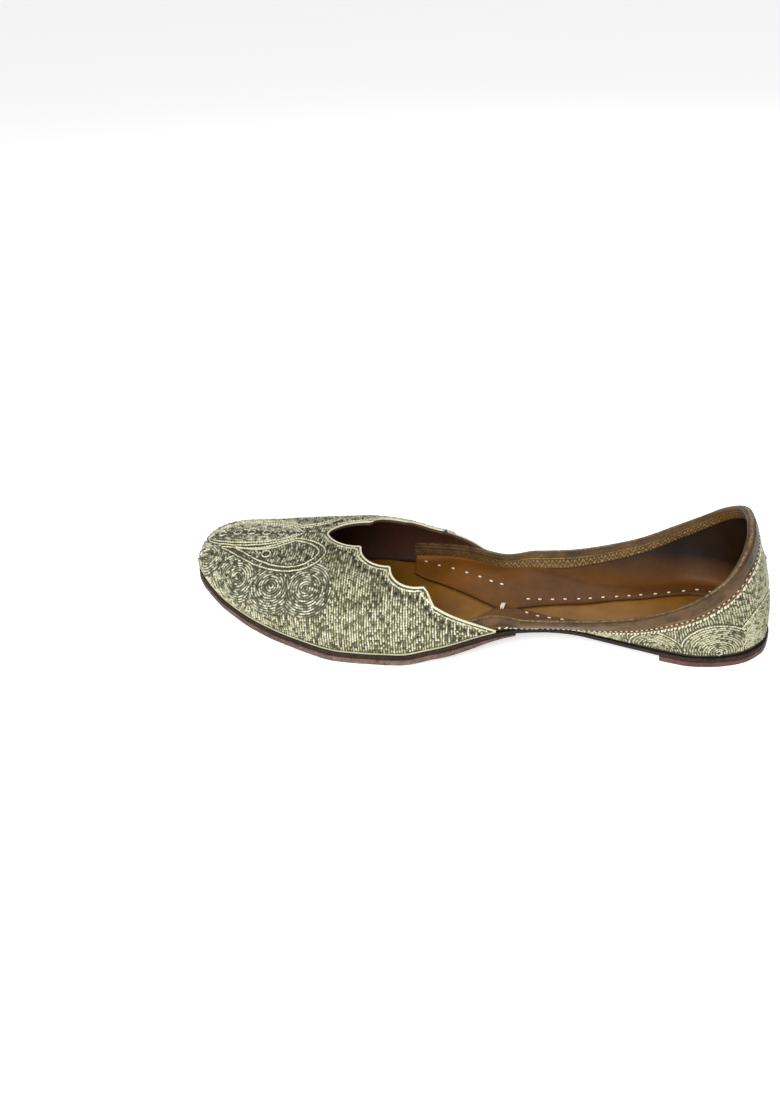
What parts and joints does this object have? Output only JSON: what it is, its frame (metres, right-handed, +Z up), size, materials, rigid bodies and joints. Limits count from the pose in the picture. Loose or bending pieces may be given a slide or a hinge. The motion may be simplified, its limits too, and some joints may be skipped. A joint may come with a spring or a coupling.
{
  "type": "mojari shoe",
  "caption": "Flat slip-on leather shoe with an embroidered closed vamp, scalloped throat, low bound collar, turned-in lining and a thin leather sole with a heel lift.",
  "frame": {"origin": "on the floor under the middle of the shoe's length and width", "axes": "+X towards the toe, +Y towards the shoe's left side, +Z up"},
  "size_m": [0.2548, 0.086, 0.056],
  "materials": {
    "outsole_leather": "grey-brown leather edge, rubbed and slightly layered",
    "heel_leather": "reddish brown leather, waxed edge",
    "midsole_leather": "dark brown dyed leather edge",
    "lining_leather": "smooth tan leather with a soft shine",
    "embroidered_upper": "dense pale gold metallic thread embroidery with darker gaps",
    "binding_leather": "bronze-brown leather stamped with a fine gold pattern",
    "pale_thread": "cream cotton and pale metallic thread",
    "red_stone": "small dark red faceted stones"
  },
  "bodies": {
    "root": {"outsole": "outsole_leather", "heel_lift": "heel_leather", "midsole": "midsole_leather", "insole": "lining_leather", "upper": "embroidered_upper", "wing_left": "lining_leather", "wing_right": "lining_leather", "collar_binding": "binding_leather"}
  },
  "joints": []
}
